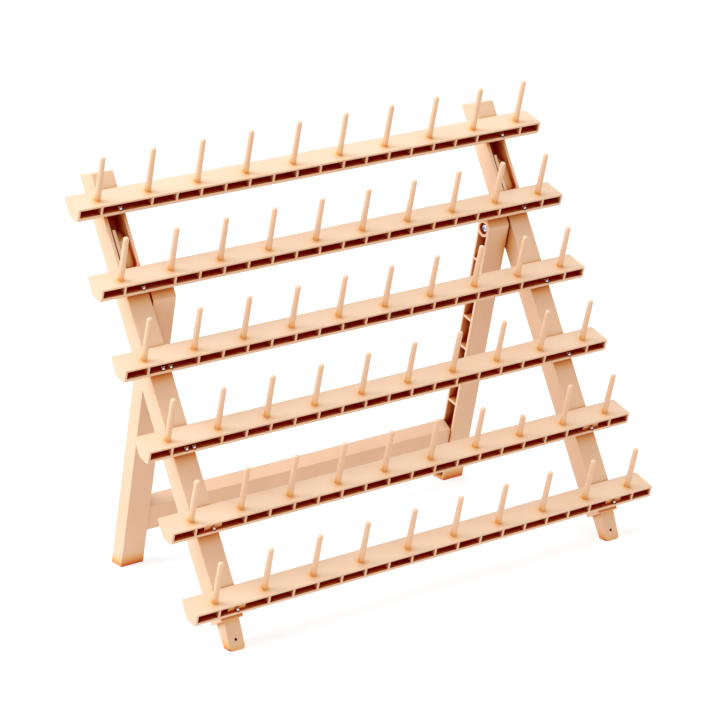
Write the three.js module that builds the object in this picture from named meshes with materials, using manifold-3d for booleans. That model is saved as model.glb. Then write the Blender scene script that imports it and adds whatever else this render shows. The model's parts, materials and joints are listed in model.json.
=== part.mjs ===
// Folding thread spool rack: six peg bars on two front legs, and a rear frame hinged behind them.
// Millimetres, +Z up, bars along X, the pegs lean towards -Y, origin at the bottom centre.
import * as THREE from 'three';
import { mergeVertices } from 'three/addons/utils/BufferGeometryUtils.js';
import Module from 'manifold-3d';

const wasm = await Module();
wasm.setup();

// ---- Driving dimensions -------------------------------------------------------------------

const GAP = 0.3;                 // clearance between pieces that touch

// Rack
const BAR_COUNT = 6;
const ROW_STEP = 56.5;           // bar to bar, along the front leg
const TOP_BAR_HEIGHT = 278.5;    // floor to the middle of the top bar's front face
const LEG_LEAN = 29;             // degrees from vertical, the front legs lean back
const BAR_TO_LEG = 45;           // degrees between a peg and the front leg
const OPEN_ANGLE = 43.1;         // degrees between the front and the rear legs

// Peg bar, in its own frame: Y back from the front face, Z along the pegs
const BAR_LENGTH = 397;
const BAR_TOP = 4.05;            // top face above the middle of the cell openings
const BAR_BOTTOM = -6.15;
const BAR_DEPTH = 19.2;          // along the top face
const BAR_BACK_EDGE = 1.6;       // upright edge at the back of the top face
const BAR_EDGE_CHAMFER = 1.5;
const CELL_HEIGHT = 5.5;
const CELL_WALL = 1.8;
const BAR_END_WALL = 1.6;
const BAR_BACK_WALL = 1.6;

// Pegs, moulded in one with the bar
const PEG_COUNT = 10;
const PEG_PITCH = 40;
const PEG_BACK = 7.3;            // peg axis behind the front face
const PEG_HEIGHT = 34;
const PEG_BASE_RADIUS = 2.25;
const PEG_TIP_RADIUS = 1.95;
const PEG_TIP_ROUND = 1.3;
const BROKEN_PEG = { bar: 5, peg: 8, height: 17 };

// Front legs, in the leg frame: Y behind the bars' front edges, Z up the leg
const LEG_OUTER_X = 173.3;
const LEG_WIDTH = 17.6;
const LEG_FRONT = 12.14;
const LEG_DEPTH = 15.66;
const LEG_TOP = 29;
const LEG_TOP_RISE = 4.3;        // the back of the leg's top is higher than its front
const LEG_SHOULDER = 288;        // below the top bar, where the narrow foot starts
const LEG_WALL = 2.2;
const FOOT_INSET = 2.8;          // each side
const FOOT_FRONT_TOP = 1.5;      // the foot's front face behind the leg's front
const FOOT_FRONT_BOTTOM = 4.9;
const FOOT_DEPTH_TOP = 11;
const FOOT_DEPTH_BOTTOM = 7;
const FOOT_ROUND = 2.5;
const FOOT_HOLE_RADIUS = 1.1;
const FOOT_HOLE_DOWN = 301.5;
const SCREW_BLOCK_HEIGHT = 9;    // solid across the leg behind each bar screw

// Pocket in the front of each leg, between the first two bars
const POCKET_TOP = 1;             // its top edge is hidden behind the first bar
const POCKET_BOTTOM = 40.6;
const POCKET_RIM = 2.6;
const POCKET_BACK_WALL = 2.2;
const POCKET_DEPTH = 4;          // of its lower part; a ramp leads to the deep upper end
const POCKET_RAMP_TOP = 9;
const POCKET_RAMP_BOTTOM = 20;
const POCKET_WEB_X = [-5.1, -2.5]; // web along the pocket, from the middle of the leg
const POCKET_WEB_TOP = 8;
const POCKET_WEB_SLOPE = 4;      // its top end slopes down towards the front
const POCKET_WEB_RECESS = 0.4;

// Pivot of the rear frame
const PIVOT_DOWN = 63;
const PIVOT_BACK = 19.7;
const PIVOT_SHAFT_RADIUS = 1.8;
const PIVOT_HEAD_RADIUS = 3;
const PIVOT_HEAD_THICKNESS = 2.4;
const PIVOT_HEAD_RECESS = 0.7;
const PIVOT_BOSS_RADIUS = 6.4;
const PIVOT_BORE_RADIUS = 4.35;
const PIVOT_GRIP = 12;           // how far the screw reaches into the front leg
const PIVOT_LEG_BOSS_RADIUS = 5;

// Rear legs, in their own frame: Y back and Z up from the pivot
const REAR_OUTER_X = 154.3;
const REAR_WIDTH = 18.7;
const REAR_FRONT = -7.1;
const REAR_BACK = 6.1;
const REAR_WALL = 2;
const REAR_STOP = 7.5;           // stop face to the pivot axis
const REAR_TIP_FLAT = 4.2;       // length cut off the sharp upper end
const REAR_RIB_FIRST = 26;
const REAR_RIB_STEP = 24.7;
const REAR_RIB_COUNT = 6;
const REAR_RIB_THICKNESS = 1.8;

// Crossbar between the rear legs, in the rear frame
const CROSS_FRONT = -5.35;
const CROSS_BACK = 5.15;
const CROSS_TOP_FRONT = -172.4;
const CROSS_TOP_BACK = -168.7;
const CROSS_BOTTOM = -192.5;
const CROSS_WALL = 2;
const CROSS_TENON = 12;

// Bar screws, from the lower lip of the wide cell through the bar into the leg
const BAR_SCREW_X = 164.5;
const BAR_SCREW_HEIGHT = -1.8;
const BAR_SCREW_HEAD_RADIUS = 1.1;
const BAR_SCREW_HEAD_THICKNESS = 1.2;
const BAR_SCREW_SHAFT_RADIUS = 0.7;
const BAR_SCREW_FRONT = 0.3;     // the head lies this far behind the bar's front face
const BAR_SCREW_GRIP = 9;        // how far the screw reaches into the leg
const BAR_BOSS_WIDTH = 2.8;      // solid web behind each screw head
const WIDE_BLOCK_BARS = [5, 6];  // the lower bars are solid across the leg
const WIDE_BLOCK_WIDTH = 14;
const WIDE_BLOCK_FRONT = 2.6;
const PAIRED_SCREW_BARS = [3, 4]; // the left leg has two screws here
const PAIRED_SCREW_OFFSET = 3;

const COLORS = { plastic: 0xe3bd97, metal: 0xb9bdc6 };

// ---- Solids -------------------------------------------------------------------------------

const radians = THREE.MathUtils.degToRad;

function toSolid(geometry) {
  geometry.deleteAttribute('normal');
  geometry.deleteAttribute('uv');
  const merged = mergeVertices(geometry, 1e-4);
  return new wasm.Manifold(new wasm.Mesh({
    numProp: 3,
    vertProperties: new Float32Array(merged.attributes.position.array),
    triVerts: new Uint32Array(merged.index.array),
  }));
}

// A (Y, Z) outline extruded along X between two X values.
function prismAlongX(outline, xStart, xEnd) {
  const shape = new THREE.Shape(outline.map(([y, z]) => new THREE.Vector2(y, z)));
  const length = Math.abs(xEnd - xStart);
  const geometry = new THREE.ExtrudeGeometry(shape, { depth: length, bevelEnabled: false });
  const axes = new THREE.Matrix4().set(0, 0, 1, Math.min(xStart, xEnd), 1, 0, 0, 0, 0, 1, 0, 0, 0, 0, 0, 1);
  return toSolid(geometry.applyMatrix4(axes));
}

// An (X, Z) shape extruded along Y between two Y values.
function prismAlongY(shape, yStart, yEnd) {
  const geometry = new THREE.ExtrudeGeometry(shape, {
    depth: yEnd - yStart, bevelEnabled: false, curveSegments: 6,
  });
  return toSolid(geometry.rotateX(Math.PI / 2).translate(0, yEnd, 0));
}

function box(xRange, yRange, zRange) {
  const size = [xRange, yRange, zRange].map(([a, b]) => Math.abs(b - a));
  const centre = [xRange, yRange, zRange].map(([a, b]) => (a + b) / 2);
  return toSolid(new THREE.BoxGeometry(...size).translate(...centre));
}

function cylinderAlongX(radius, xStart, xEnd, y, z, segments = 20) {
  const geometry = new THREE.CylinderGeometry(radius, radius, Math.abs(xEnd - xStart), segments);
  return toSolid(geometry.rotateZ(Math.PI / 2).translate((xStart + xEnd) / 2, y, z));
}

function cylinderAlongY(radius, yStart, yEnd, x, z, segments = 16) {
  const geometry = new THREE.CylinderGeometry(radius, radius, yEnd - yStart, segments);
  return toSolid(geometry.translate(x, (yStart + yEnd) / 2, z));
}

// A slot outline with a square top and round bottom corners.
function slotShape(halfWidth, top, bottom, roundBottom) {
  const shape = new THREE.Shape();
  shape.moveTo(-halfWidth, top);
  shape.lineTo(-halfWidth, bottom + roundBottom);
  shape.absarc(-halfWidth + roundBottom, bottom + roundBottom, roundBottom, Math.PI, Math.PI * 1.5);
  shape.lineTo(halfWidth - roundBottom, bottom);
  shape.absarc(halfWidth - roundBottom, bottom + roundBottom, roundBottom, Math.PI * 1.5, Math.PI * 2);
  shape.lineTo(halfWidth, top);
  shape.closePath();
  return shape;
}

function toMesh(name, solid, color, metalness = 0) {
  const { vertProperties, triVerts } = solid.getMesh();
  const geometry = new THREE.BufferGeometry();
  geometry.setAttribute('position', new THREE.BufferAttribute(vertProperties, 3));
  geometry.setIndex(new THREE.BufferAttribute(triVerts, 1));
  const material = new THREE.MeshStandardMaterial({ color, roughness: metalness ? 0.3 : 0.55, metalness });
  const mesh = new THREE.Mesh(geometry, material);
  mesh.name = name;
  return mesh;
}

const SIDES = [{ word: 'left', sign: -1 }, { word: 'right', sign: 1 }];

// ---- Peg bars -----------------------------------------------------------------------------

const floorLine = BAR_DEPTH - BAR_TOP + BAR_BACK_EDGE;   // Y - Z along the bar's sloping back face
const cellLine = floorLine - BAR_BACK_WALL * Math.SQRT2; // the same, inside the cells
const cellTop = CELL_HEIGHT / 2;

function pegSolid(x, height) {
  const whole = height === PEG_HEIGHT;
  const tipRadius = whole ? PEG_TIP_RADIUS : PEG_BASE_RADIUS - 0.12;
  const profile = [[0, BAR_TOP - 1], [PEG_BASE_RADIUS, BAR_TOP - 1]];
  if (whole) {
    profile.push([tipRadius, BAR_TOP + height - PEG_TIP_ROUND]);
    profile.push([tipRadius * 0.68, BAR_TOP + height - PEG_TIP_ROUND * 0.26]);
  } else {
    profile.push([tipRadius, BAR_TOP + height]);
  }
  profile.push([0, BAR_TOP + height]);
  const lathe = new THREE.LatheGeometry(profile.map(([r, z]) => new THREE.Vector2(r, z)), 10);
  return toSolid(lathe.rotateX(Math.PI / 2).translate(x, PEG_BACK, 0));
}

// The rows of cells: two between neighbouring pegs, and one wide cell over each leg.
function cellRanges() {
  const half = PEG_PITCH / 2;
  const first = -PEG_PITCH * (PEG_COUNT - 1) / 2;
  const walls = [];
  for (let peg = 0; peg < PEG_COUNT; peg += 1) {
    walls.push(first + peg * PEG_PITCH);
    const overLeg = peg === 0 || peg === PEG_COUNT - 2;
    if (peg < PEG_COUNT - 1 && !overLeg) walls.push(first + peg * PEG_PITCH + half);
  }
  const ranges = [[-BAR_LENGTH / 2 + BAR_END_WALL, walls[0] - CELL_WALL / 2]];
  for (let i = 1; i < walls.length; i += 1) {
    ranges.push([walls[i - 1] + CELL_WALL / 2, walls[i] - CELL_WALL / 2]);
  }
  ranges.push([walls[walls.length - 1] + CELL_WALL / 2, BAR_LENGTH / 2 - BAR_END_WALL]);
  return ranges;
}

function barScrewPlaces(bar) {
  return SIDES.flatMap(({ word, sign }) => {
    if (sign < 0 && PAIRED_SCREW_BARS.includes(bar)) {
      return [
        ['left_outer', -BAR_SCREW_X - PAIRED_SCREW_OFFSET], ['left_inner', -BAR_SCREW_X + PAIRED_SCREW_OFFSET],
      ];
    }
    return [[word, sign * BAR_SCREW_X]];
  });
}

// A solid block inside a cell, from a depth behind the front face to the sloping back wall.
function barBlock(x, width, front, top) {
  const bottom = -cellTop - 0.5;
  return prismAlongX([
    [front, top], [front, bottom], [floorLine + bottom - 0.5, bottom],
    [Math.min(floorLine + top - 1, BAR_DEPTH - 1), top],
  ], x - width / 2, x + width / 2);
}

function barSolid(bar) {
  let solid = prismAlongX([
    [0, BAR_TOP], [0, BAR_BOTTOM + BAR_EDGE_CHAMFER], [BAR_EDGE_CHAMFER, BAR_BOTTOM],
    [floorLine + BAR_BOTTOM, BAR_BOTTOM], [BAR_DEPTH, BAR_TOP - BAR_BACK_EDGE], [BAR_DEPTH, BAR_TOP],
  ], -BAR_LENGTH / 2, BAR_LENGTH / 2);
  for (const [xStart, xEnd] of cellRanges()) {
    solid = solid.subtract(prismAlongX([
      [-1, cellTop], [-1, -cellTop], [cellLine - cellTop, -cellTop], [cellLine + cellTop, cellTop],
    ], xStart, xEnd));
  }
  const seat = BAR_SCREW_FRONT + BAR_SCREW_HEAD_THICKNESS + GAP;
  for (const [, x] of barScrewPlaces(bar)) {
    solid = solid.add(barBlock(x, BAR_BOSS_WIDTH, seat, BAR_SCREW_HEIGHT + BAR_BOSS_WIDTH / 2));
  }
  for (const { sign } of WIDE_BLOCK_BARS.includes(bar) ? SIDES : []) {
    solid = solid.add(barBlock(sign * BAR_SCREW_X, WIDE_BLOCK_WIDTH, WIDE_BLOCK_FRONT, cellTop + 0.5));
  }
  for (const [, x] of barScrewPlaces(bar)) {
    solid = solid.subtract(cylinderAlongY(BAR_SCREW_HEAD_RADIUS + GAP, -1, seat, x, BAR_SCREW_HEIGHT));
    const shaft = BAR_SCREW_SHAFT_RADIUS + GAP;
    solid = solid.subtract(cylinderAlongY(shaft, 0, BAR_DEPTH + 1, x, BAR_SCREW_HEIGHT, 10));
  }
  for (let peg = 1; peg <= PEG_COUNT; peg += 1) {
    const broken = bar === BROKEN_PEG.bar && peg === BROKEN_PEG.peg;
    const x = (peg - (PEG_COUNT + 1) / 2) * PEG_PITCH;
    solid = solid.add(pegSolid(x, broken ? BROKEN_PEG.height : PEG_HEIGHT));
  }
  return solid;
}

const barScrewLength = floorLine + BAR_SCREW_HEIGHT - BAR_SCREW_FRONT + BAR_SCREW_GRIP;

function barScrewSolid(x) {
  const headBack = BAR_SCREW_FRONT + BAR_SCREW_HEAD_THICKNESS;
  const end = BAR_SCREW_FRONT + barScrewLength;
  return cylinderAlongY(BAR_SCREW_HEAD_RADIUS, BAR_SCREW_FRONT, headBack, x, BAR_SCREW_HEIGHT)
    .add(cylinderAlongY(BAR_SCREW_SHAFT_RADIUS, headBack - 0.5, end, x, BAR_SCREW_HEIGHT, 10));
}

// ---- Front legs ---------------------------------------------------------------------------

const lean = radians(LEG_LEAN);
const legBack = LEG_FRONT + LEG_DEPTH;

// Where the floor lies in the leg frame, at a distance behind the bars' front edges.
function floorBelowLeg(back) {
  return (back * Math.sin(lean) - TOP_BAR_HEIGHT) / Math.cos(lean);
}

function frontLegSolid(sign) {
  const innerX = sign * (LEG_OUTER_X - LEG_WIDTH);
  const outerX = sign * LEG_OUTER_X;
  const centreX = (innerX + outerX) / 2;
  const cavityInner = innerX + sign * LEG_WALL;
  const cavityOuter = outerX - sign * LEG_WALL;
  const cavityFront = LEG_FRONT + LEG_WALL;
  const behind = legBack + 1;
  let solid = prismAlongX([
    [LEG_FRONT, LEG_TOP], [LEG_FRONT, -LEG_SHOULDER],
    [legBack, -LEG_SHOULDER], [legBack, LEG_TOP + LEG_TOP_RISE],
  ], innerX, outerX);

  const backCavity = (top, bottom, topRise = 0) => prismAlongX([
    [cavityFront, top], [cavityFront, bottom], [behind, bottom], [behind, top + topRise],
  ], cavityInner, cavityOuter);
  solid = solid.subtract(backCavity(LEG_TOP - LEG_WALL, -POCKET_TOP + LEG_WALL + 2, LEG_TOP_RISE));
  solid = solid.subtract(backCavity(-POCKET_BOTTOM - LEG_WALL, -LEG_SHOULDER + LEG_WALL));

  // Solid blocks for the bar screws, and the boss for the pivot screw.
  for (let bar = 1; bar <= BAR_COUNT; bar += 1) {
    const across = -(bar - 1) * ROW_STEP + (LEG_FRONT + LEG_DEPTH / 2) + BAR_SCREW_HEIGHT * Math.SQRT2;
    const bottom = across - SCREW_BLOCK_HEIGHT / 2;
    solid = solid.add(box([cavityInner - sign, cavityOuter + sign], [cavityFront - 1, legBack],
      [bottom, bottom + SCREW_BLOCK_HEIGHT]));
  }
  solid = solid.add(cylinderAlongX(
    PIVOT_LEG_BOSS_RADIUS, innerX + sign, outerX - sign, PIVOT_BACK, -PIVOT_DOWN,
  ));

  // Front pocket with a web along it, between the first two bars.
  const pocketBack = legBack - POCKET_BACK_WALL;
  const halfPocket = LEG_WIDTH / 2 - POCKET_RIM;
  const pocket = slotShape(halfPocket, -POCKET_TOP, -POCKET_BOTTOM, 3.4);
  const pocketFloor = LEG_FRONT + POCKET_DEPTH;
  const pocketSide = prismAlongX([
    [LEG_FRONT - 2, -POCKET_TOP + 1], [LEG_FRONT - 2, -POCKET_BOTTOM - 1], [pocketFloor, -POCKET_BOTTOM - 1],
    [pocketFloor, -POCKET_RAMP_BOTTOM], [pocketBack, -POCKET_RAMP_TOP], [pocketBack, -POCKET_TOP + 1],
  ], innerX, outerX);
  const webFront = LEG_FRONT + POCKET_WEB_RECESS;
  const webBottom = -POCKET_BOTTOM - 0.5;
  const place = (shape, front, back) => prismAlongY(shape, front, back).translate(centreX, 0, 0);
  solid = solid.subtract(place(pocket, LEG_FRONT - 1, pocketBack).intersect(pocketSide));
  solid = solid.add(prismAlongX([
    [webFront, -POCKET_WEB_TOP - POCKET_WEB_SLOPE], [webFront, webBottom], [pocketBack + 0.5, webBottom],
    [pocketBack + 0.5, -POCKET_WEB_TOP],
  ], ...POCKET_WEB_X.map((x) => centreX + x)));

  // Narrow tapering foot, cut level with the floor.
  const footOuter = LEG_WIDTH / 2 - FOOT_INSET;
  const frontTop = LEG_FRONT + FOOT_FRONT_TOP;
  const frontBottom = LEG_FRONT + FOOT_FRONT_BOTTOM;
  const backBottom = frontBottom + FOOT_DEPTH_BOTTOM;
  const footSide = prismAlongX([
    [frontTop, -LEG_SHOULDER + 1], [frontBottom, floorBelowLeg(frontBottom)],
    [backBottom, floorBelowLeg(backBottom)], [frontTop + FOOT_DEPTH_TOP, -LEG_SHOULDER + 1],
  ], centreX - footOuter, centreX + footOuter);
  const footRound = place(
    slotShape(footOuter, -LEG_SHOULDER + 2, floorBelowLeg(frontBottom), FOOT_ROUND), LEG_FRONT, legBack,
  );
  solid = solid.add(footSide.intersect(footRound));
  solid = solid.subtract(cylinderAlongY(FOOT_HOLE_RADIUS, LEG_FRONT, legBack, centreX, -FOOT_HOLE_DOWN, 12));

  // Pilot holes: along each bar screw, and along the pivot.
  for (let bar = 1; bar <= BAR_COUNT; bar += 1) {
    for (const [word, x] of barScrewPlaces(bar)) {
      if (word.startsWith('left') !== (sign < 0)) continue;
      const hole = cylinderAlongY(BAR_SCREW_SHAFT_RADIUS + GAP, 0, BAR_SCREW_FRONT + barScrewLength + 1, x,
        BAR_SCREW_HEIGHT, 10);
      solid = solid.subtract(hole.rotate([BAR_TO_LEG, 0, 0]).translate(0, 0, -(bar - 1) * ROW_STEP));
    }
  }
  solid = solid.subtract(cylinderAlongX(
    PIVOT_SHAFT_RADIUS + GAP, innerX - sign, innerX + sign * (PIVOT_GRIP + 0.5), PIVOT_BACK, -PIVOT_DOWN,
  ));
  return solid;
}

// ---- Rear frame ---------------------------------------------------------------------------

const rearLean = radians(OPEN_ANGLE - LEG_LEAN);
const open = radians(OPEN_ANGLE);
const pivotHeight = TOP_BAR_HEIGHT - PIVOT_DOWN * Math.cos(lean) - PIVOT_BACK * Math.sin(lean);

function floorBelowPivot(back) {
  return -(pivotHeight + back * Math.sin(rearLean)) / Math.cos(rearLean);
}

// Height, in the rear frame, of the stop face at a distance behind the pivot, set in by a wall.
function stopFace(back, inset = 0) {
  return (REAR_STOP - inset + back * Math.cos(open)) / Math.sin(open);
}

function rearLegOutline(inset) {
  const front = REAR_FRONT + inset;
  const back = REAR_BACK - inset;
  const tip = stopFace(back, inset) - REAR_TIP_FLAT;
  const tipFront = (tip * Math.sin(open) - REAR_STOP + inset) / Math.cos(open);
  return [
    [front, stopFace(front, inset)], [front, floorBelowPivot(front) + inset],
    [back, floorBelowPivot(back) + inset], [back, tip], [tipFront, tip],
  ];
}

const rearInnerX = REAR_OUTER_X - REAR_WIDTH;
const headSeat = rearInnerX + PIVOT_HEAD_RECESS + PIVOT_HEAD_THICKNESS + GAP;

function rearLegSolid(sign) {
  const innerX = sign * rearInnerX;
  const outerX = sign * REAR_OUTER_X;
  const cavityEnd = outerX - sign * REAR_WALL;
  let solid = prismAlongX(rearLegOutline(0), innerX, outerX)
    .subtract(prismAlongX(rearLegOutline(REAR_WALL), innerX - sign, cavityEnd));
  for (let rib = 0; rib < REAR_RIB_COUNT; rib += 1) {
    const top = -REAR_RIB_FIRST - rib * REAR_RIB_STEP;
    solid = solid.add(box([innerX, cavityEnd + sign], [REAR_FRONT + 1, REAR_BACK - 1],
      [top - REAR_RIB_THICKNESS, top]));
  }
  solid = solid.add(cylinderAlongX(PIVOT_BOSS_RADIUS, innerX, cavityEnd + sign, 0, 0, 32));
  solid = solid.subtract(cylinderAlongX(PIVOT_BORE_RADIUS, innerX - sign, sign * headSeat, 0, 0));
  return solid.subtract(cylinderAlongX(PIVOT_SHAFT_RADIUS + GAP, innerX, outerX + sign, 0, 0));
}

function crossbarSolid() {
  const half = rearInnerX - GAP;
  const slope = (CROSS_TOP_BACK - CROSS_TOP_FRONT) / (CROSS_BACK - CROSS_FRONT);
  const outline = (inset, bottom) => [
    [CROSS_FRONT + inset, CROSS_TOP_FRONT - inset + slope * inset], [CROSS_FRONT + inset, bottom],
    [CROSS_BACK - inset, bottom], [CROSS_BACK - inset, CROSS_TOP_BACK - inset - slope * inset],
  ];
  const shell = prismAlongX(outline(0, CROSS_BOTTOM), -half, half)
    .subtract(prismAlongX(outline(CROSS_WALL, CROSS_BOTTOM - 1), -half + CROSS_WALL, half - CROSS_WALL));
  // Tenons slide into the open channels of the rear legs.
  const front = REAR_FRONT + REAR_WALL + GAP;
  const back = REAR_BACK - REAR_WALL - GAP;
  const tenon = (xStart, xEnd) => box([xStart, xEnd], [front, back], [CROSS_BOTTOM + 2, CROSS_TOP_FRONT - 2]);
  return shell.add(tenon(half - 1, half + CROSS_TENON)).add(tenon(-half - CROSS_TENON, -half + 1));
}

function pivotScrewSolid(sign) {
  const headFace = sign * (rearInnerX + PIVOT_HEAD_RECESS);
  const headBack = headFace + sign * PIVOT_HEAD_THICKNESS;
  const end = sign * (LEG_OUTER_X - LEG_WIDTH + PIVOT_GRIP);
  return cylinderAlongX(PIVOT_HEAD_RADIUS, headFace, headBack, 0, 0)
    .add(cylinderAlongX(PIVOT_SHAFT_RADIUS, headBack - sign * 0.5, end, 0, 0));
}

// ---- Assembly -----------------------------------------------------------------------------

const frontFrame = new THREE.Group();
frontFrame.rotation.x = -lean;
const rearFrame = new THREE.Group();
rearFrame.position.set(0, PIVOT_BACK, -PIVOT_DOWN);
rearFrame.rotation.x = open;
frontFrame.add(rearFrame);

for (const { word, sign } of SIDES) {
  frontFrame.add(toMesh(`front_leg_${word}`, frontLegSolid(sign), COLORS.plastic));
  rearFrame.add(toMesh(`rear_leg_${word}`, rearLegSolid(sign), COLORS.plastic));
  rearFrame.add(toMesh(`pivot_screw_${word}`, pivotScrewSolid(sign), COLORS.metal, 1));
}
rearFrame.add(toMesh('rear_crossbar', crossbarSolid(), COLORS.plastic));

for (let bar = 1; bar <= BAR_COUNT; bar += 1) {
  const row = new THREE.Group();
  row.position.z = -(bar - 1) * ROW_STEP;
  row.rotation.x = radians(BAR_TO_LEG);
  row.add(toMesh(`bar_${bar}`, barSolid(bar), COLORS.plastic));
  for (const [word, x] of barScrewPlaces(bar)) {
    row.add(toMesh(`bar_screw_${bar}_${word}`, barScrewSolid(x), COLORS.metal, 1));
  }
  frontFrame.add(row);
}

// Stand the rack on the floor with its box centred on the origin.
const group = new THREE.Group();
group.add(frontFrame);
frontFrame.position.z = TOP_BAR_HEIGHT;
group.updateMatrixWorld(true);
const extent = new THREE.Box3().setFromObject(group, true);
frontFrame.position.y = -(extent.min.y + extent.max.y) / 2;

export default group;
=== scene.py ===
"""Looks of a folding thread spool rack: six peg bars on two front legs and a hinged rear frame.

Lengths are in millimetres in the frame of each part and become metres when a piece is placed.
"""

import json
import math

import bmesh
import bpy
from mathutils import Matrix, Quaternion, Vector


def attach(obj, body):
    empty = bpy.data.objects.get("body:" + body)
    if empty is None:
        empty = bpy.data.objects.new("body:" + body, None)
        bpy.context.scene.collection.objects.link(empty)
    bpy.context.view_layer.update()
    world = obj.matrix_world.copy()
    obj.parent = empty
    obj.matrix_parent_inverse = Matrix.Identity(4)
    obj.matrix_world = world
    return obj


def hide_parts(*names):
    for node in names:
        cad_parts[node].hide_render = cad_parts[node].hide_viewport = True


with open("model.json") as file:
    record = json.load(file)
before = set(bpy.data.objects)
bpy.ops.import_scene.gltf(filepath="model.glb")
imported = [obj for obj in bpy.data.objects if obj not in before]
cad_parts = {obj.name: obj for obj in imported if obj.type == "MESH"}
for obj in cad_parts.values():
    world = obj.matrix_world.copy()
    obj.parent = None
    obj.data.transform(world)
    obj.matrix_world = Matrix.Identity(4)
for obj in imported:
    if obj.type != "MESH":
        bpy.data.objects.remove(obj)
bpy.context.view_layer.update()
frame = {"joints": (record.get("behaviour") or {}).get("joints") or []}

SIDES = {"left": -1, "right": 1}
MM = 0.001

# ---- Driving dimensions, the same design as the frame --------------------------------------

ROW_STEP = 56.5
LEG_LEAN = math.radians(29)
BAR_TO_LEG = math.radians(45)
OPEN_ANGLE = math.radians(43.1)

BAR_COUNT = 6
BAR_LENGTH = 397
BAR_TOP = 4.05
BAR_BOTTOM = -6.15
BAR_DEPTH = 19.2
BAR_BACK_EDGE = 1.6
BAR_EDGE_CHAMFER = 1.5
CELL_TOP = 2.75
CELL_WALL = 1.8
END_WALL = 1.6
BACK_WALL = 1.6
BACK_LINE = BAR_DEPTH - BAR_TOP + BAR_BACK_EDGE   # y - z along the sloping back
CELL_LINE = BACK_LINE - BACK_WALL * math.sqrt(2)

PEG_COUNT = 10
PEG_PITCH = 40
PEG_BACK = 7.3
PEG_HEIGHT = 34
PEG_BASE_RADIUS = 2.25
PEG_TIP_RADIUS = 1.95
PEG_FILLET = 0.5
PEG_SIDES = 28
BROKEN_BAR, BROKEN_PEG, BROKEN_HEIGHT = 5, 8, 17

LEG_OUTER_X = 173.3
LEG_WIDTH = 17.6
LEG_INNER_X = LEG_OUTER_X - LEG_WIDTH
LEG_CENTRE_X = LEG_OUTER_X - LEG_WIDTH / 2
LEG_FRONT = 12.14
LEG_BACK = LEG_FRONT + 15.66
LEG_TOP = 29
LEG_TOP_RISE = 4.3
LEG_SHOULDER = -288
LEG_WALL = 2.2
FOOT_HALF = LEG_WIDTH / 2 - 2.8
FOOT_FRONT_TOP = LEG_FRONT + 1.5
FOOT_FRONT_BOTTOM = LEG_FRONT + 4.9
FOOT_DEPTH_TOP = 11
FOOT_DEPTH_BOTTOM = 7
FOOT_ROUND = 2.5
FOOT_HOLE = -301.5
FOOT_HOLE_RADIUS = 1.1

POCKET_TOP = -1
POCKET_BOTTOM = -40.6
POCKET_RIM = 2.6
POCKET_ROUND = 3.4
POCKET_BACK = LEG_BACK - 2.2
POCKET_FLOOR = LEG_FRONT + 4
POCKET_RAMP_TOP = -9
POCKET_RAMP_BOTTOM = -20
POCKET_WEB_X = (-5.1, -2.5)
POCKET_WEB_TOP = -8
POCKET_WEB_SLOPE = 4
POCKET_WEB_FRONT = LEG_FRONT + 0.4

PIVOT_DOWN = -63
PIVOT_BACK = 19.7
PIVOT_SHAFT_RADIUS = 1.8
PIVOT_HEAD_RADIUS = 3
PIVOT_HEAD_THICKNESS = 2.4
PIVOT_HEAD_RECESS = 0.7
PIVOT_BOSS_RADIUS = 6.4
PIVOT_BORE_RADIUS = 4.35
PIVOT_GRIP = 12
PIVOT_BLOCK_RADIUS = 5           # solid in the front leg around the end of the screw
PIVOT_CROSS_REACH = 2            # half the length of each arm of the driver's cross
PIVOT_CROSS_HALF = 0.55
PIVOT_CROSS_DEPTH = 1.6

REAR_OUTER_X = 154.3
REAR_INNER_X = REAR_OUTER_X - 18.7
REAR_FRONT = -7.1
REAR_BACK = 6.1
REAR_WALL = 2
REAR_STOP = 7.5
REAR_TIP_FLAT = 4.2
REAR_RIB_FIRST = -26
REAR_RIB_STEP = 24.7
REAR_RIB_COUNT = 6
REAR_RIB_THICKNESS = 1.8

CROSS_FRONT = -5.35
CROSS_BACK = 5.15
CROSS_TOP_FRONT = -172.4
CROSS_TOP_BACK = -168.7
CROSS_BOTTOM = -192.5
CROSS_WALL = 2
CROSS_TENON = 12
GAP = 0.3

SCREW_X = 164.5
SCREW_Z = -1.8
SCREW_FRONT = 0.3
SCREW_HEAD_RADIUS = 1.1
SCREW_HEAD_THICKNESS = 1.2
SCREW_SHAFT_RADIUS = 0.7
SCREW_GRIP = 9
SCREW_TIP = 2
SCREW_BLOCK_HALF = 4.5           # half the height of the solid in the leg around each screw
WEB_WIDTH = 2.8
WEB_OVERLAP = 0.04               # a web starts this far in front of the screw's seat
WIDE_BLOCK_BARS = (5, 6)
WIDE_BLOCK_WIDTH = 14
WIDE_BLOCK_FRONT = 2.6
PAIRED_SCREW_BARS = (3, 4)
PAIRED_SCREW_OFFSET = 3
SCREW_SEAT = SCREW_FRONT + SCREW_HEAD_THICKNESS + GAP
SCREW_END = BACK_LINE + SCREW_Z + SCREW_GRIP

# ---- Frames of the parts, in metres, found from the fold joint -----------------------------

pivot = Vector(frame["joints"][0]["pos_m"])
front_frame = Matrix.Rotation(-LEG_LEAN, 4, "X")
strip_centre = pivot - front_frame @ (Vector((0, PIVOT_BACK, PIVOT_DOWN)) * MM)
front_frame = Matrix.Translation(strip_centre) @ front_frame
rear_lean = OPEN_ANGLE - LEG_LEAN
rear_frame = Matrix.Translation(pivot) @ Matrix.Rotation(rear_lean, 4, "X")
to_metres = Matrix.Scale(MM, 4)


def bar_frame(bar):
    down = Matrix.Translation((0, 0, -(bar - 1) * ROW_STEP * MM))
    return front_frame @ down @ Matrix.Rotation(BAR_TO_LEG, 4, "X")


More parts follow.
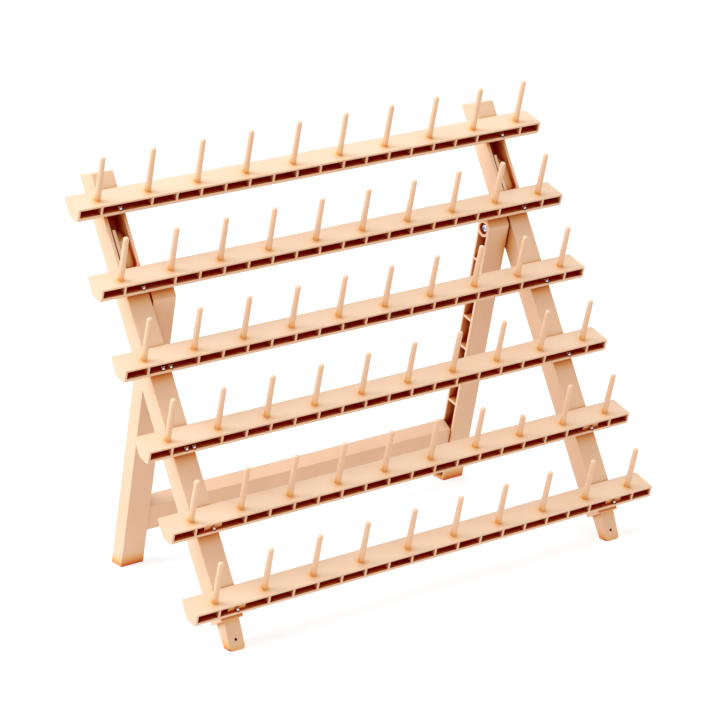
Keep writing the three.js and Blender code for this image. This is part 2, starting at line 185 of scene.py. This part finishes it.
def floor_below_leg(back):
    """Height of the floor in the leg's frame, at a distance behind the bars' front edges."""
    return (back * math.sin(LEG_LEAN) - strip_centre.z / MM) / math.cos(LEG_LEAN)


def floor_below_pivot(back):
    return -(pivot.z / MM + back * math.sin(rear_lean)) / math.cos(rear_lean)


# ---- Mesh tools ---------------------------------------------------------------------------


def add_prism(bm, outline, start, end, axis="X"):
    """A closed prism: an outline of (y, z) extruded along X, or of (x, z) extruded along Y."""
    low, high = min(start, end), max(start, end)

    def corner(point, along):
        return (along, *point) if axis == "X" else (point[0], along, point[1])

    near = [bm.verts.new(corner(point, low)) for point in outline]
    far = [bm.verts.new(corner(point, high)) for point in outline]
    bm.faces.new(near)
    bm.faces.new(reversed(far))
    for i in range(len(outline)):
        j = (i + 1) % len(outline)
        bm.faces.new((near[i], near[j], far[j], far[i]))


def add_box(bm, x_range, y_range, z_range):
    (y_low, y_high), (z_low, z_high) = y_range, z_range
    add_prism(bm, [(y_low, z_low), (y_high, z_low), (y_high, z_high), (y_low, z_high)], *x_range)


def add_lathe(bm, profile, centre, axis, sides):
    """A closed turned solid. The profile is (radius, along); its ends may lie on the axis."""
    centre = Vector(centre)
    rings = []
    for radius, along in profile:
        ring = []
        for i in range(sides if radius > 0 else 1):
            angle = 2 * math.pi * i / sides
            across, up = radius * math.cos(angle), radius * math.sin(angle)
            offset = {"X": (along, across, up), "Y": (across, along, up), "Z": (across, up, along)}[axis]
            ring.append(bm.verts.new(centre + Vector(offset)))
        rings.append(ring)
    for low, high in zip(rings, rings[1:]):
        for i in range(sides):
            j = (i + 1) % sides
            corners = [low[i % len(low)], low[j % len(low)], high[j % len(high)], high[i % len(high)]]
            unique = list(dict.fromkeys(corners))
            bm.faces.new(unique)
    for ring in (rings[0], rings[-1]):
        if len(ring) > 1:
            bm.faces.new(ring)


def add_cylinder(bm, radius, start, end, centre, axis="X", sides=32):
    add_lathe(bm, [(radius, min(start, end)), (radius, max(start, end))], centre, axis, sides)


def round_corners(points, radii, steps=6):
    """The outline with each corner that has a radius replaced by an arc."""
    result = []
    count = len(points)
    for i, radius in enumerate(radii):
        corner = Vector(points[i])
        if not radius:
            result.append(tuple(corner))
            continue
        before = (Vector(points[i - 1]) - corner).normalized()
        after = (Vector(points[(i + 1) % count]) - corner).normalized()
        half = before.angle(after) / 2
        centre = corner + (before + after).normalized() * (radius / math.sin(half))
        first = corner + before * (radius / math.tan(half)) - centre
        last = corner + after * (radius / math.tan(half)) - centre
        turn = first.angle_signed(last)
        for step in range(steps + 1):
            angle = -turn * step / steps
            x = first.x * math.cos(angle) - first.y * math.sin(angle)
            y = first.x * math.sin(angle) + first.y * math.cos(angle)
            result.append((centre.x + x, centre.y + y))
    return result


def new_object(name, bm):
    bmesh.ops.recalc_face_normals(bm, faces=bm.faces)
    mesh = bpy.data.meshes.new(name)
    bm.to_mesh(mesh)
    bm.free()
    piece = bpy.data.objects.new(name, mesh)
    bpy.context.scene.collection.objects.link(piece)
    return piece


def make(name, build):
    bm = bmesh.new()
    build(bm)
    return new_object(name, bm)


def combine(base, operation, build):
    """Joins to, or cuts from, the base the solids that build() adds to an empty mesh."""
    tool = make(base.name + "_tool", build)
    modifier = base.modifiers.new("combine", "BOOLEAN")
    modifier.operation = operation
    modifier.solver = "EXACT"
    modifier.use_self = operation == "UNION"
    modifier.object = tool
    evaluated = base.evaluated_get(bpy.context.evaluated_depsgraph_get())
    mesh = bpy.data.meshes.new_from_object(evaluated)
    base.modifiers.clear()
    old = base.data
    base.data = mesh
    bpy.data.meshes.remove(old)
    bpy.data.objects.remove(tool)


def cut(base, build):
    combine(base, "DIFFERENCE", build)


def join(base, build):
    combine(base, "UNION", build)


def soften_edges(piece, width, shortest, segments=3, sharp=math.radians(32)):
    """Rounds every sharp edge that is longer than a limit, as moulded plastic has."""
    bm = bmesh.new()
    bm.from_mesh(piece.data)
    bmesh.ops.remove_doubles(bm, verts=bm.verts, dist=0.001)
    bmesh.ops.dissolve_limit(bm, angle_limit=math.radians(0.5), verts=bm.verts, edges=bm.edges)
    edges = [e for e in bm.edges
             if e.is_manifold and e.calc_length() > shortest and e.calc_face_angle(0) > sharp]
    bmesh.ops.bevel(bm, geom=edges, offset=width, segments=segments, profile=0.5,
                    affect="EDGES", clamp_overlap=True)
    bm.to_mesh(piece.data)
    bm.free()


def place(piece, matrix, body, node, slot, smooth=math.radians(30)):
    """Puts a finished piece where its frame says, and lets it stand for its CAD node."""
    piece.data.transform(matrix @ to_metres)
    bm = bmesh.new()
    bm.from_mesh(piece.data)
    bmesh.ops.recalc_face_normals(bm, faces=bm.faces)
    for face in bm.faces:
        face.smooth = True
    for edge in bm.edges:
        edge.smooth = edge.calc_face_angle(0) < smooth
    bm.to_mesh(piece.data)
    bm.free()
    weighted = piece.modifiers.new("even shading", "WEIGHTED_NORMAL")
    weighted.keep_sharp = True
    piece.data.materials.clear()
    piece.data.materials.append(MATERIALS[slot])
    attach(piece, body)
    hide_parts(node)


# ---- Materials ----------------------------------------------------------------------------


def node_tools(name):
    material = bpy.data.materials.new(name)
    material.use_nodes = True
    nodes, links = material.node_tree.nodes, material.node_tree.links
    return material, nodes, links, nodes["Principled BSDF"]


def noise(nodes, links, scale, detail):
    coordinates = nodes.new("ShaderNodeTexCoord")
    texture = nodes.new("ShaderNodeTexNoise")
    texture.inputs["Scale"].default_value = scale
    texture.inputs["Detail"].default_value = detail
    links.new(coordinates.outputs["Object"], texture.inputs["Vector"])
    return texture.outputs["Fac"]


def ramp(nodes, links, source, stops):
    node = nodes.new("ShaderNodeValToRGB")
    elements = node.color_ramp.elements
    while len(elements) < len(stops):
        elements.new(0.5)
    for element, (position, color) in zip(elements, stops):
        element.position = position
        element.color = (*color, 1)
    links.new(source, node.inputs["Fac"])
    return node.outputs["Color"]


def multiply(nodes, links, first, second):
    node = nodes.new("ShaderNodeMix")
    node.data_type = "RGBA"
    node.blend_type = "MULTIPLY"
    node.inputs["Factor"].default_value = 1
    links.new(first, node.inputs["A"])
    links.new(second, node.inputs["B"])
    return node.outputs["Result"]


def beige_plastic():
    """Warm beige moulded plastic, with painted shade: an ambient occlusion ramp turns deep pockets and cells
    a saturated red brown.
    """
    material, nodes, links, shader = node_tools("beige_plastic")
    shade = ramp(nodes, links, noise(nodes, links, 26, 3), [
        (0.3, (0.705, 0.428, 0.256)), (0.7, (0.745, 0.458, 0.281)),
    ])
    occlusion = nodes.new("ShaderNodeAmbientOcclusion")
    occlusion.samples = 12
    occlusion.inputs["Distance"].default_value = 0.013
    # Painted shade: this ambient occlusion ramp multiplies the base colour down to deep red brown in cells,
    # pockets and under the bars.
    painted_cavity_shade = ramp(nodes, links, occlusion.outputs["AO"], [
        (0.06, (0.800, 0.010, 0.006)), (0.32, (0.400, 0.006, 0.005)), (0.42, (0.700, 0.150, 0.030)),
        (0.52, (0.930, 0.480, 0.110)), (0.65, (0.990, 0.730, 0.260)), (0.78, (1.000, 0.930, 0.710)),
        (0.90, (1, 1, 1)),
    ])
    links.new(multiply(nodes, links, shade, painted_cavity_shade), shader.inputs["Base Color"])
    # Painted shade on the highlights: the specular level drops to nothing where ambient occlusion is strong.
    highlight_dimmed_by_painted_shade = ramp(nodes, links, occlusion.outputs["AO"], [(0.35, (0, 0, 0)), (0.75, (0.5, 0.5, 0.5))])
    links.new(highlight_dimmed_by_painted_shade, shader.inputs["Specular IOR Level"])
    rough = ramp(nodes, links, noise(nodes, links, 900, 2), [
        (0.3, (0.42, 0.42, 0.42)), (0.7, (0.52, 0.52, 0.52)),
    ])
    links.new(rough, shader.inputs["Roughness"])
    bump = nodes.new("ShaderNodeBump")
    bump.inputs["Strength"].default_value = 0.05
    bump.inputs["Distance"].default_value = 0.0003
    links.new(noise(nodes, links, 1400, 2), bump.inputs["Height"])
    links.new(bump.outputs["Normal"], shader.inputs["Normal"])
    shader.inputs["IOR"].default_value = 1.47
    return material


def steel_screw():
    """Bright zinc plate with faint turning marks."""
    material, nodes, links, shader = node_tools("steel_screw")
    tint = ramp(nodes, links, noise(nodes, links, 700, 3), [
        (0.3, (0.62, 0.65, 0.71)), (0.7, (0.78, 0.80, 0.84)),
    ])
    links.new(tint, shader.inputs["Base Color"])
    rough = ramp(nodes, links, noise(nodes, links, 1600, 2), [
        (0.3, (0.20, 0.20, 0.20)), (0.7, (0.34, 0.34, 0.34)),
    ])
    links.new(rough, shader.inputs["Roughness"])
    shader.inputs["Metallic"].default_value = 1
    return material


MATERIALS = {"beige_plastic": beige_plastic(), "steel_screw": steel_screw()}

# ---- Peg bars -----------------------------------------------------------------------------


def add_peg(bm, x, height):
    """A tapered peg with a small fillet at its foot and a rounded tip, or a snapped flat end."""
    root, tip = BAR_TOP - 0.9, BAR_TOP + height
    profile = [(0, root), (PEG_BASE_RADIUS + PEG_FILLET, root)]
    for step in range(5):
        angle = math.pi / 2 * step / 4
        profile.append((PEG_BASE_RADIUS + PEG_FILLET * (1 - math.sin(angle)),
                        BAR_TOP + PEG_FILLET * (1 - math.cos(angle))))
    if height == PEG_HEIGHT:
        cap = 1.5
        shoulder = tip - cap
        for step in range(6):
            angle = math.pi / 2 * step / 6
            profile.append((PEG_TIP_RADIUS * math.cos(angle) ** 0.8, shoulder + cap * math.sin(angle)))
        profile.append((0, tip))
    else:
        radius = PEG_BASE_RADIUS - 0.12
        profile += [(radius, tip - 0.35), (radius - 0.2, tip), (0, tip - 0.3)]
    add_lathe(bm, profile, (x, PEG_BACK, 0), "Z", PEG_SIDES)


def cell_ranges():
    """Two cells between neighbouring pegs, and one wide cell over each leg."""
    first = -PEG_PITCH * (PEG_COUNT - 1) / 2
    walls = []
    for peg in range(PEG_COUNT):
        walls.append(first + peg * PEG_PITCH)
        if peg not in (0, PEG_COUNT - 2, PEG_COUNT - 1):
            walls.append(first + (peg + 0.5) * PEG_PITCH)
    half = CELL_WALL / 2
    ranges = [(-BAR_LENGTH / 2 + END_WALL, walls[0] - half)]
    ranges += [(a + half, b - half) for a, b in zip(walls, walls[1:])]
    ranges.append((walls[-1] + half, BAR_LENGTH / 2 - END_WALL))
    return ranges


def screw_places(bar):
    """Where the screws of a bar stand along X, by the last words of their names."""
    places = {}
    for word, sign in SIDES.items():
        if sign < 0 and bar in PAIRED_SCREW_BARS:
            places["left_outer"] = -SCREW_X - PAIRED_SCREW_OFFSET
            places["left_inner"] = -SCREW_X + PAIRED_SCREW_OFFSET
        else:
            places[word] = sign * SCREW_X
    return places


def build_bar(bar):
    name = f"bar_{bar}"
    outline = [
        (0, BAR_TOP), (0, BAR_BOTTOM + BAR_EDGE_CHAMFER), (BAR_EDGE_CHAMFER, BAR_BOTTOM),
        (BACK_LINE + BAR_BOTTOM, BAR_BOTTOM), (BAR_DEPTH, BAR_TOP - BAR_BACK_EDGE), (BAR_DEPTH, BAR_TOP),
    ]
    piece = make(name + "_moulding", lambda bm: add_prism(bm, outline, -BAR_LENGTH / 2, BAR_LENGTH / 2))

    def cells(bm):
        for start, end in cell_ranges():
            add_prism(bm, [(-1, CELL_TOP), (-1, -CELL_TOP), (CELL_LINE - CELL_TOP, -CELL_TOP),
                           (CELL_LINE + CELL_TOP, CELL_TOP)], start, end)
    cut(piece, cells)
    soften_edges(piece, 0.3, 1.2)

    # Solid places inside the wide cells, one behind each screw and broad ones in two bars.
    def add_block(bm, x, width, front, top):
        bottom = -CELL_TOP - 0.5
        add_prism(bm, [(front, top), (front, bottom), (BACK_LINE + bottom - 0.5, bottom),
                       (min(BACK_LINE + top - 1, BAR_DEPTH - 1), top)], x - width / 2, x + width / 2)

    def wide_blocks(bm):
        for sign in SIDES.values():
            add_block(bm, sign * SCREW_X, WIDE_BLOCK_WIDTH, WIDE_BLOCK_FRONT, CELL_TOP + 0.5)

    def screw_webs(bm):
        for x in screw_places(bar).values():
            add_block(bm, x, WEB_WIDTH, SCREW_SEAT - WEB_OVERLAP, SCREW_Z + WEB_WIDTH / 2)
    if bar in WIDE_BLOCK_BARS:
        join(piece, wide_blocks)
    join(piece, screw_webs)

    for x in screw_places(bar).values():
        cut(piece, lambda bm: add_cylinder(bm, SCREW_SHAFT_RADIUS + GAP, 0, BAR_DEPTH + 1,
                                           (x, 0, SCREW_Z), "Y", 24))
        cut(piece, lambda bm: add_cylinder(bm, SCREW_HEAD_RADIUS + GAP, -1, SCREW_SEAT,
                                           (x, 0, SCREW_Z), "Y", 28))

    def pegs(bm):
        for peg in range(1, PEG_COUNT + 1):
            broken = bar == BROKEN_BAR and peg == BROKEN_PEG
            add_peg(bm, (peg - (PEG_COUNT + 1) / 2) * PEG_PITCH, BROKEN_HEIGHT if broken else PEG_HEIGHT)
    join(piece, pegs)
    place(piece, bar_frame(bar), "front_frame", name, "beige_plastic")


# ---- Screws -------------------------------------------------------------------------------


def pan_profile(radius, front, back):
    """The domed face of a pan head, from its centre out to its rim and back edge."""
    crown = (back - front) * 0.55
    steps = 6
    profile = [(0, front)]
    for step in range(1, steps + 1):
        angle = math.pi / 2 * step / steps
        profile.append((radius * math.sin(angle), front + crown * (1 - math.cos(angle))))
    profile.append((radius, back))
    return profile


def build_bar_screw(name, bar, x):
    """A small pan head screw with a plain shank."""
    head_back = SCREW_FRONT + SCREW_HEAD_THICKNESS

    def body(bm):
        add_lathe(bm, pan_profile(SCREW_HEAD_RADIUS, SCREW_FRONT, head_back)
                  + [(SCREW_SHAFT_RADIUS, head_back), (SCREW_SHAFT_RADIUS, SCREW_END - SCREW_TIP),
                     (0, SCREW_END)],
                  (x, 0, SCREW_Z), "Y", 24)
    piece = make(name + "_part", body)
    place(piece, bar_frame(bar), "front_frame", name, "steel_screw")


def build_pivot_screw(word, sign):
    """The big cross head screw of the hinge; its domed head faces the middle of the rack."""
    head_face = sign * (REAR_INNER_X + PIVOT_HEAD_RECESS)
    head_back = head_face + sign * PIVOT_HEAD_THICKNESS
    end = sign * (LEG_INNER_X + PIVOT_GRIP)

    def body(bm):
        add_lathe(bm, pan_profile(PIVOT_HEAD_RADIUS, head_face, head_back)
                  + [(PIVOT_SHAFT_RADIUS, head_back), (PIVOT_SHAFT_RADIUS, end - sign * 3), (0, end)],
                  (0, 0, 0), "X", 40)
    piece = make(f"pivot_screw_{word}_part", body)
    for across, up in ((PIVOT_CROSS_REACH, PIVOT_CROSS_HALF), (PIVOT_CROSS_HALF, PIVOT_CROSS_REACH)):
        cut(piece, lambda bm: add_box(bm, (head_face - sign, head_face + sign * PIVOT_CROSS_DEPTH),
                                      (-across, across), (-up, up)))
    place(piece, rear_frame, "front_frame", f"pivot_screw_{word}", "steel_screw")


# ---- Front legs ---------------------------------------------------------------------------


def slot_outline(centre, half, top, bottom, radius):
    points = [(centre - half, top), (centre - half, bottom), (centre + half, bottom), (centre + half, top)]
    return round_corners(points, (0, radius, radius, 0), 10)


def build_front_leg(word, sign):
    name = f"front_leg_{word}"
    inner, outer, centre = sign * LEG_INNER_X, sign * LEG_OUTER_X, sign * LEG_CENTRE_X
    cavity = (inner + sign * LEG_WALL, outer - sign * LEG_WALL)
    cavity_front = LEG_FRONT + LEG_WALL
    behind = LEG_BACK + 1
    piece = make(name + "_moulding", lambda bm: add_prism(bm, [
        (LEG_FRONT, LEG_TOP), (LEG_FRONT, LEG_SHOULDER), (LEG_BACK, LEG_SHOULDER),
        (LEG_BACK, LEG_TOP + LEG_TOP_RISE)], inner, outer))
    soften_edges(piece, 0.6, 1)

    # Open back, above and below the pocket.
    upper = (LEG_TOP - LEG_WALL, POCKET_TOP + LEG_WALL + 2)
    lower = (POCKET_BOTTOM - LEG_WALL, LEG_SHOULDER + LEG_WALL)

    def cavities(bm):
        for (top, bottom), lift in ((upper, LEG_TOP_RISE), (lower, 0)):
            outline = [(cavity_front, top), (cavity_front, bottom), (behind, bottom), (behind, top + lift)]
            add_prism(bm, outline, *cavity)
    cut(piece, cavities)

    # Blocks for the bar screws and the boss for the pivot screw.
    def blocks(bm):
        for bar in range(BAR_COUNT):
            middle = -bar * ROW_STEP + (LEG_FRONT + LEG_BACK) / 2 + SCREW_Z * math.sqrt(2)
            add_box(bm, (cavity[0] - sign, cavity[1] + sign), (cavity_front - 1, LEG_BACK - 0.05),
                    (middle - SCREW_BLOCK_HALF, middle + SCREW_BLOCK_HALF))
        add_cylinder(bm, PIVOT_BLOCK_RADIUS, inner + sign, outer - sign, (0, PIVOT_BACK, PIVOT_DOWN))
    join(piece, blocks)

    # Front pocket with a web along it.
    half = LEG_WIDTH / 2 - POCKET_RIM
    pocket = make(name + "_pocket", lambda bm: add_prism(
        bm, slot_outline(centre, half, POCKET_TOP, POCKET_BOTTOM, POCKET_ROUND),
        LEG_FRONT - 1, POCKET_BACK, "Y"))
    combine(pocket, "INTERSECT", lambda bm: add_prism(bm, [
        (LEG_FRONT - 2, POCKET_TOP + 1), (LEG_FRONT - 2, POCKET_BOTTOM - 1),
        (POCKET_FLOOR, POCKET_BOTTOM - 1), (POCKET_FLOOR, POCKET_RAMP_BOTTOM),
        (POCKET_BACK + 0.01, POCKET_RAMP_TOP),
        (POCKET_BACK + 0.01, POCKET_TOP + 1)], inner, outer))
    cut(piece, lambda bm: bm.from_mesh(pocket.data))
    bpy.data.objects.remove(pocket)
    web = make(name + "_web", lambda bm: add_prism(bm, [
        (POCKET_WEB_FRONT, POCKET_WEB_TOP - POCKET_WEB_SLOPE), (POCKET_WEB_FRONT, POCKET_BOTTOM - 0.5),
        (POCKET_BACK + 0.5, POCKET_BOTTOM - 0.5), (POCKET_BACK + 0.5, POCKET_WEB_TOP)],
        *(centre + x for x in POCKET_WEB_X)))
    soften_edges(web, 0.3, 0.2)
    join(piece, lambda bm: bm.from_mesh(web.data))
    bpy.data.objects.remove(web)

    # Narrow tapering foot, cut level with the floor.
    bottom_back = FOOT_FRONT_BOTTOM + FOOT_DEPTH_BOTTOM
    foot = make(name + "_foot", lambda bm: add_prism(bm, [
        (FOOT_FRONT_TOP, LEG_SHOULDER + 1), (FOOT_FRONT_BOTTOM, floor_below_leg(FOOT_FRONT_BOTTOM)),
        (bottom_back, floor_below_leg(bottom_back)), (FOOT_FRONT_TOP + FOOT_DEPTH_TOP, LEG_SHOULDER + 1)],
        centre - FOOT_HALF, centre + FOOT_HALF))
    combine(foot, "INTERSECT", lambda bm: add_prism(
        bm, slot_outline(centre, FOOT_HALF, LEG_SHOULDER + 2, floor_below_leg(FOOT_FRONT_BOTTOM), FOOT_ROUND),
        LEG_FRONT, LEG_BACK, "Y"))
    soften_edges(foot, 0.5, 0.2)
    join(piece, lambda bm: bm.from_mesh(foot.data))
    bpy.data.objects.remove(foot)

    def holes(bm):
        add_cylinder(bm, FOOT_HOLE_RADIUS, LEG_FRONT, LEG_BACK, (centre, 0, FOOT_HOLE), "Y", 20)
        add_cylinder(bm, PIVOT_SHAFT_RADIUS + GAP, inner - sign, inner + sign * (PIVOT_GRIP + 0.5),
                     (0, PIVOT_BACK, PIVOT_DOWN), "X", 24)
    cut(piece, holes)

    def screw_holes(bm):
        for bar in range(1, BAR_COUNT + 1):
            for place_name, x in screw_places(bar).items():
                if place_name.startswith("left") != (sign < 0):
                    continue
                start = set(bm.verts)
                add_cylinder(bm, SCREW_SHAFT_RADIUS + GAP, 0, SCREW_END + 1, (x, 0, SCREW_Z), "Y", 16)
                turn = Matrix.Translation((0, 0, -(bar - 1) * ROW_STEP)) @ Matrix.Rotation(BAR_TO_LEG, 4, "X")
                bmesh.ops.transform(bm, matrix=turn, verts=[v for v in bm.verts if v not in start])
    cut(piece, screw_holes)
    place(piece, front_frame, "front_frame", name, "beige_plastic")


# ---- Rear frame ---------------------------------------------------------------------------


def stop_face(back, inset=0):
    return (REAR_STOP - inset + back * math.cos(OPEN_ANGLE)) / math.sin(OPEN_ANGLE)


def rear_leg_outline(inset):
    """Side view of the rear leg: its sloping top bears on the second bar when the rack is open."""
    front, back = REAR_FRONT + inset, REAR_BACK - inset
    tip = stop_face(back, inset) - REAR_TIP_FLAT
    tip_front = (tip * math.sin(OPEN_ANGLE) - REAR_STOP + inset) / math.cos(OPEN_ANGLE)
    return [(front, stop_face(front, inset)), (front, floor_below_pivot(front) + inset),
            (back, floor_below_pivot(back) + inset), (back, tip), (tip_front, tip)]


def build_rear_leg(word, sign):
    name = f"rear_leg_{word}"
    inner, outer = sign * REAR_INNER_X, sign * REAR_OUTER_X
    cavity_end = outer - sign * REAR_WALL
    piece = make(name + "_moulding", lambda bm: add_prism(bm, rear_leg_outline(0), inner, outer))
    soften_edges(piece, 0.6, 1)
    cut(piece, lambda bm: add_prism(bm, rear_leg_outline(REAR_WALL), inner - sign, cavity_end))

    def ribs_and_boss(bm):
        for rib in range(REAR_RIB_COUNT):
            top = REAR_RIB_FIRST - rib * REAR_RIB_STEP
            add_box(bm, (inner + sign * 0.1, cavity_end + sign), (REAR_FRONT + 1, REAR_BACK - 1),
                    (top - REAR_RIB_THICKNESS, top))
        add_cylinder(bm, PIVOT_BOSS_RADIUS, inner, cavity_end + sign, (0, 0, 0), "X", 48)
    join(piece, ribs_and_boss)

    seat = sign * (REAR_INNER_X + PIVOT_HEAD_RECESS + PIVOT_HEAD_THICKNESS + GAP)

    def bore(bm):
        lead = 0.3
        profile = [(PIVOT_BORE_RADIUS + lead, inner - sign), (PIVOT_BORE_RADIUS + lead, inner),
                   (PIVOT_BORE_RADIUS, inner + sign * lead), (PIVOT_BORE_RADIUS, seat),
                   (PIVOT_SHAFT_RADIUS + GAP, seat), (PIVOT_SHAFT_RADIUS + GAP, outer + sign)]
        add_lathe(bm, profile, (0, 0, 0), "X", 40)
    cut(piece, bore)
    place(piece, rear_frame, "rear_frame", name, "beige_plastic")


def build_crossbar():
    half = REAR_INNER_X - GAP
    slope = (CROSS_TOP_BACK - CROSS_TOP_FRONT) / (CROSS_BACK - CROSS_FRONT)

    def outline(inset, bottom):
        return [(CROSS_FRONT + inset, CROSS_TOP_FRONT - inset + slope * inset), (CROSS_FRONT + inset, bottom),
                (CROSS_BACK - inset, bottom), (CROSS_BACK - inset, CROSS_TOP_BACK - inset - slope * inset)]
    piece = make("rear_crossbar_moulding", lambda bm: add_prism(bm, outline(0, CROSS_BOTTOM), -half, half))
    soften_edges(piece, 0.5, 1)
    cut(piece, lambda bm: add_prism(
        bm, outline(CROSS_WALL, CROSS_BOTTOM - 1), -half + CROSS_WALL, half - CROSS_WALL))

    def tenons(bm):
        front, back = REAR_FRONT + REAR_WALL + GAP, REAR_BACK - REAR_WALL - GAP
        for sign in SIDES.values():
            add_box(bm, (sign * (half - 1), sign * (half + CROSS_TENON)), (front, back),
                    (CROSS_BOTTOM + 2, CROSS_TOP_FRONT - 2))
    join(piece, tenons)
    place(piece, rear_frame, "rear_frame", "rear_crossbar", "beige_plastic")


for bar_number in range(1, BAR_COUNT + 1):
    build_bar(bar_number)
    for place_word, screw_x in screw_places(bar_number).items():
        build_bar_screw(f"bar_screw_{bar_number}_{place_word}", bar_number, screw_x)
for side_word, side_sign in SIDES.items():
    build_front_leg(side_word, side_sign)
    build_rear_leg(side_word, side_sign)
    build_pivot_screw(side_word, side_sign)
build_crossbar()

# ---- Stage, light and camera --------------------------------------------------------------


def build_floor():
    bm = bmesh.new()
    bmesh.ops.create_grid(bm, x_segments=2, y_segments=2, size=6)
    floor = new_object("studio_floor", bm)
    material, _, _, shader = node_tools("studio_white")
    shader.inputs["Base Color"].default_value = (0.28, 0.28, 0.28, 1)
    shader.inputs["Emission Color"].default_value = (1, 1, 1, 1)
    shader.inputs["Emission Strength"].default_value = 0.72
    shader.inputs["Roughness"].default_value = 0.9
    floor.data.materials.append(material)


def add_area_light(name, position, target, size, power, color):
    light = bpy.data.lights.new(name, "AREA")
    light.shape = "DISK"
    light.size = size
    light.energy = power
    light.color = color
    lamp = bpy.data.objects.new(name, light)
    lamp.location = position
    lamp.rotation_euler = (Vector(target) - Vector(position)).to_track_quat("-Z", "Y").to_euler()
    bpy.context.scene.collection.objects.link(lamp)


def build_world():
    world = bpy.data.worlds.new("studio")
    world.use_nodes = True
    world.node_tree.nodes["Background"].inputs["Color"].default_value = (1, 1, 1, 1)
    world.node_tree.nodes["Background"].inputs["Strength"].default_value = 0.93
    bpy.context.scene.world = world


def build_camera():
    """Long lens, from the left and a little above, almost level; no shift."""
    azimuth, elevation, roll = math.radians(-35.553), math.radians(19.116), math.radians(-0.177)
    aim = Vector((-0.004, -0.00486, 0.15101))
    distance = 2.12
    back = Vector((math.sin(azimuth) * math.cos(elevation), -math.cos(azimuth) * math.cos(elevation),
                   math.sin(elevation)))
    data = bpy.data.cameras.new("camera")
    data.lens = 149.85
    data.sensor_width = 36
    camera = bpy.data.objects.new("camera", data)
    camera.location = aim + back * distance
    camera.rotation_euler = ((-back).to_track_quat("-Z", "Y") @ Quaternion((0, 0, 1), roll)).to_euler()
    bpy.context.scene.collection.objects.link(camera)
    bpy.context.scene.camera = camera


build_floor()
build_world()
rack_middle = (0, 0, 0.15)
add_area_light("key", (-1.78, 0.6, 1.64), rack_middle, 1.4, 59, (0.70, 0.82, 1))
add_area_light("top", (0, 0.05, 2.3), rack_middle, 1.4, 30, (0.40, 0.72, 1))
build_camera()
bpy.context.scene.view_settings.view_transform = "Standard"
